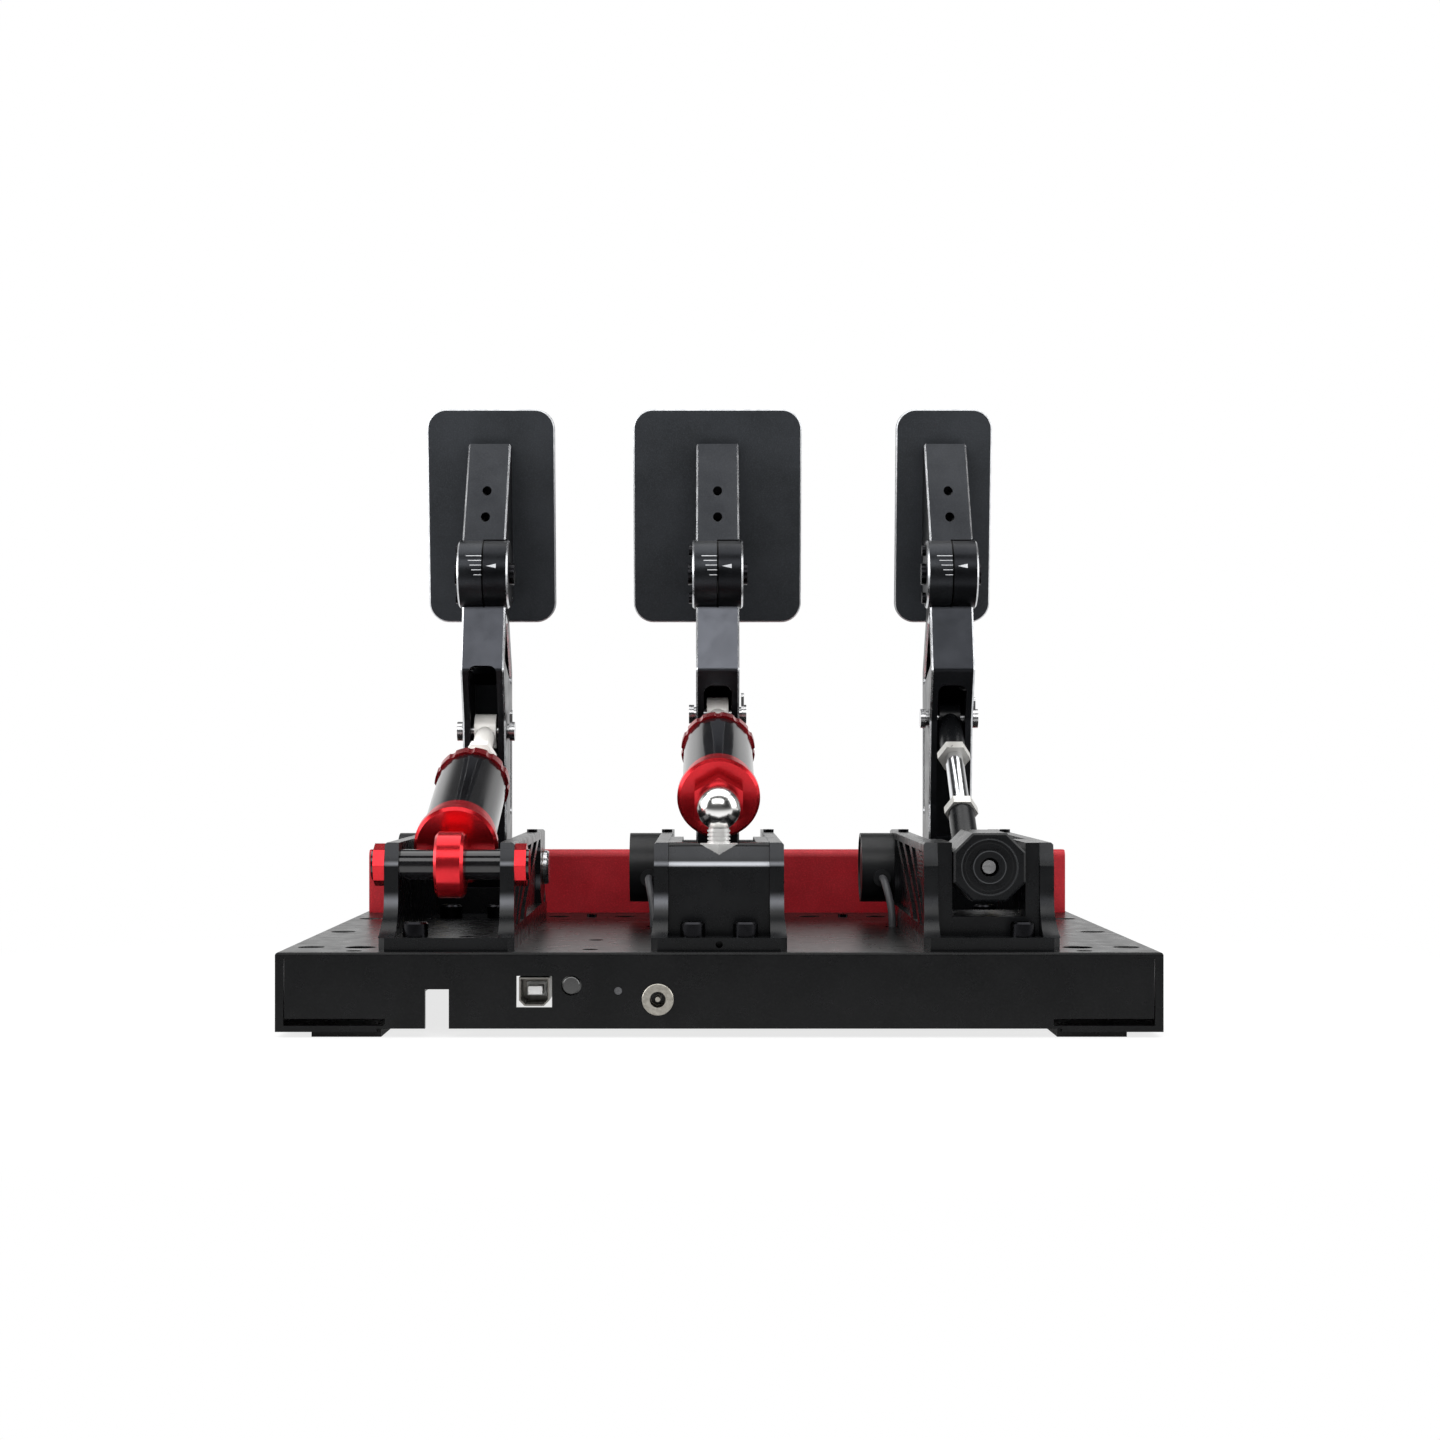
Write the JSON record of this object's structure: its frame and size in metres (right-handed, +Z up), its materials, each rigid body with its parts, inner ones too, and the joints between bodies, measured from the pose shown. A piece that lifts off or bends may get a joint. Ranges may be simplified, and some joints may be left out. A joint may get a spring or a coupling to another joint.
{
  "type": "sim racing pedal set",
  "caption": "Floor-standing driving pedals on a folded tray: sprung arms with tilting pads, two damper struts, a turnbuckle link and a heel rest.",
  "frame": {"origin": "centre of the overall box at floor level, under the feet", "axes": "+X to the right seen from behind, the side with the sockets; +Y towards the driver; +Z up"},
  "size_m": [0.35, 0.2709, 0.2769],
  "materials": {
    "powder_black": "satin powder coat",
    "powder_red": "fine-textured powder coat",
    "anodised_black": "satin anodised aluminium",
    "arm_black": "satin anodised aluminium with bare edges",
    "pad_black": "matte textured coat with bare edges",
    "gloss_black": "gloss",
    "anodised_red": "gloss anodised aluminium",
    "nickel": "nickel plate",
    "chrome": "mirror plate",
    "polished_steel": "polished",
    "black_steel": "black oxide steel",
    "rubber_black": "matte",
    "lead_grey": "soft jacket",
    "plastic_black": "satin",
    "white_plastic": "matte",
    "board_green": "solder-masked board",
    "led_lens": "smoked lens",
    "brass": "machined",
    "aluminium_plain": "machined"
  },
  "bodies": {
    "base": {"base_tray": "powder_black", "rubber_feet": "rubber_black", "heel_rest": "powder_red", "control_board": "board_green", "usb_socket": "nickel", "usb_tongue": "white_plastic", "status_led": "led_lens", "power_jack": "nickel", "pivot_bearings": "brass", "bracket_bolts": "black_steel", "small_screws": "black_steel", "pedal_sensors": "plastic_black", "sensor_leads": "lead_grey", "throttle_cross_pin": "black_steel", "throttle_pin_nuts": "anodised_red", "brake_front_block": "anodised_black", "brake_load_cell": "aluminium_plain", "brake_ball_stud": "nickel", "clutch_frame": "anodised_black", "clutch_spring_housing": "anodised_black", "throttle_bracket_floor": "anodised_black", "throttle_side_plates": "anodised_black", "brake_bracket_floor": "anodised_black", "brake_side_plates": "anodised_black", "clutch_bracket_floor": "anodised_black", "clutch_side_plates": "anodised_black"},
    "button": {"reset_button": "plastic_black"},
    "throttle_pedal": {"throttle_arm": "arm_black", "throttle_axle": "polished_steel", "throttle_arm_pin": "polished_steel"},
    "throttle_pad_body": {"throttle_pad_bracket": "arm_black", "throttle_pad": "pad_black", "throttle_pad_screws": "black_steel"},
    "brake_pedal": {"brake_arm": "arm_black", "brake_axle": "polished_steel", "brake_arm_pin": "polished_steel"},
    "brake_pad_body": {"brake_pad_bracket": "arm_black", "brake_pad": "pad_black", "brake_pad_screws": "black_steel"},
    "clutch_pedal": {"clutch_arm": "arm_black", "clutch_axle": "polished_steel", "clutch_arm_pin": "polished_steel"},
    "clutch_pad_body": {"clutch_pad_bracket": "arm_black", "clutch_pad": "pad_black", "clutch_pad_screws": "black_steel"},
    "throttle_damper": {"throttle_damper_cap": "anodised_red", "throttle_damper_tube": "gloss_black", "throttle_damper_ring": "anodised_red"},
    "throttle_rod": {"throttle_damper_rod": "nickel"},
    "brake_damper": {"brake_damper_cap": "anodised_red", "brake_damper_tube": "gloss_black", "brake_damper_ring": "anodised_red"},
    "brake_rod": {"brake_damper_rod": "nickel"},
    "clutch_link": {"clutch_link_ends": "anodised_black", "clutch_link_rod": "chrome", "clutch_link_nuts": "nickel"},
    "clutch_shaft": {"clutch_spring_shaft": "polished_steel", "clutch_slider_pin": "polished_steel"}
  },
  "joints": [
    {"name": "throttle_press", "type": "hinge", "parent": "base", "child": "throttle_pedal", "pos_m": [-0.1083, 0.058, 0.0585], "axis": [1, 0, 0], "range_deg": [0, 18], "stiffness_Nm_per_rad": 3, "springref_deg": -22.92},
    {"name": "throttle_pad_tilt", "type": "hinge", "parent": "throttle_pedal", "child": "throttle_pad_body", "pos_m": [-0.1083, 0.042, 0.1955], "axis": [1, 0, 0], "range_deg": [-10, 10]},
    {"name": "brake_press", "type": "hinge", "parent": "base", "child": "brake_pedal", "pos_m": [0, 0.058, 0.0585], "axis": [1, 0, 0], "range_deg": [0, 8], "stiffness_Nm_per_rad": 20, "springref_deg": -22.92},
    {"name": "brake_pad_tilt", "type": "hinge", "parent": "brake_pedal", "child": "brake_pad_body", "pos_m": [0, 0.042, 0.1955], "axis": [1, 0, 0], "range_deg": [-10, 10]},
    {"name": "clutch_press", "type": "hinge", "parent": "base", "child": "clutch_pedal", "pos_m": [0.1083, 0.058, 0.0585], "axis": [1, 0, 0], "range_deg": [0, 16], "stiffness_Nm_per_rad": 4, "springref_deg": -22.92},
    {"name": "clutch_pad_tilt", "type": "hinge", "parent": "clutch_pedal", "child": "clutch_pad_body", "pos_m": [0.1083, 0.042, 0.1955], "axis": [1, 0, 0], "range_deg": [-10, 10]},
    {"name": "throttle_damper_swing", "type": "hinge", "parent": "base", "child": "throttle_damper", "pos_m": [-0.1083, -0.109, 0.067], "axis": [1, 0, 0], "range_deg": [0, 1]},
    {"name": "throttle_rod_slide", "type": "slide", "parent": "throttle_damper", "child": "throttle_rod", "axis": [0, 0.9442, 0.3295], "range_m": [-0.0205, 0]},
    {"name": "brake_damper_swing", "type": "hinge", "parent": "base", "child": "brake_damper", "pos_m": [0, -0.093, 0.0895], "axis": [1, 0, 0], "range_deg": [0, 0.6]},
    {"name": "brake_rod_slide", "type": "slide", "parent": "brake_damper", "child": "brake_rod", "axis": [0, 0.9613, 0.2756], "range_m": [-0.0105, 0]},
    {"name": "clutch_link_swing", "type": "hinge", "parent": "clutch_pedal", "child": "clutch_link", "pos_m": [0.1083, 0.05, 0.1285], "axis": [1, 0, 0], "range_deg": [-20, 0]},
    {"name": "clutch_shaft_slide", "type": "slide", "parent": "base", "child": "clutch_shaft", "axis": [0, 1, 0], "range_m": [-0.0225, 0]},
    {"name": "reset_button_press", "type": "slide", "parent": "base", "child": "button", "axis": [0, 1, 0], "range_m": [0, 0.0012], "stiffness_N_per_m": 150, "springref_m": -0.0005}
  ],
  "couplings": [
    {"joint": "throttle_damper_swing", "follows": "throttle_press", "ratio": 0.0325},
    {"joint": "throttle_rod_slide", "follows": "throttle_press", "m_per_rad": -0.063484},
    {"joint": "brake_damper_swing", "follows": "brake_press", "ratio": 0.0566},
    {"joint": "brake_rod_slide", "follows": "brake_press", "m_per_rad": -0.072006},
    {"joint": "clutch_link_swing", "follows": "clutch_press", "ratio": -1.1864},
    {"joint": "clutch_shaft_slide", "follows": "clutch_press", "m_per_rad": -0.079358}
  ]
}
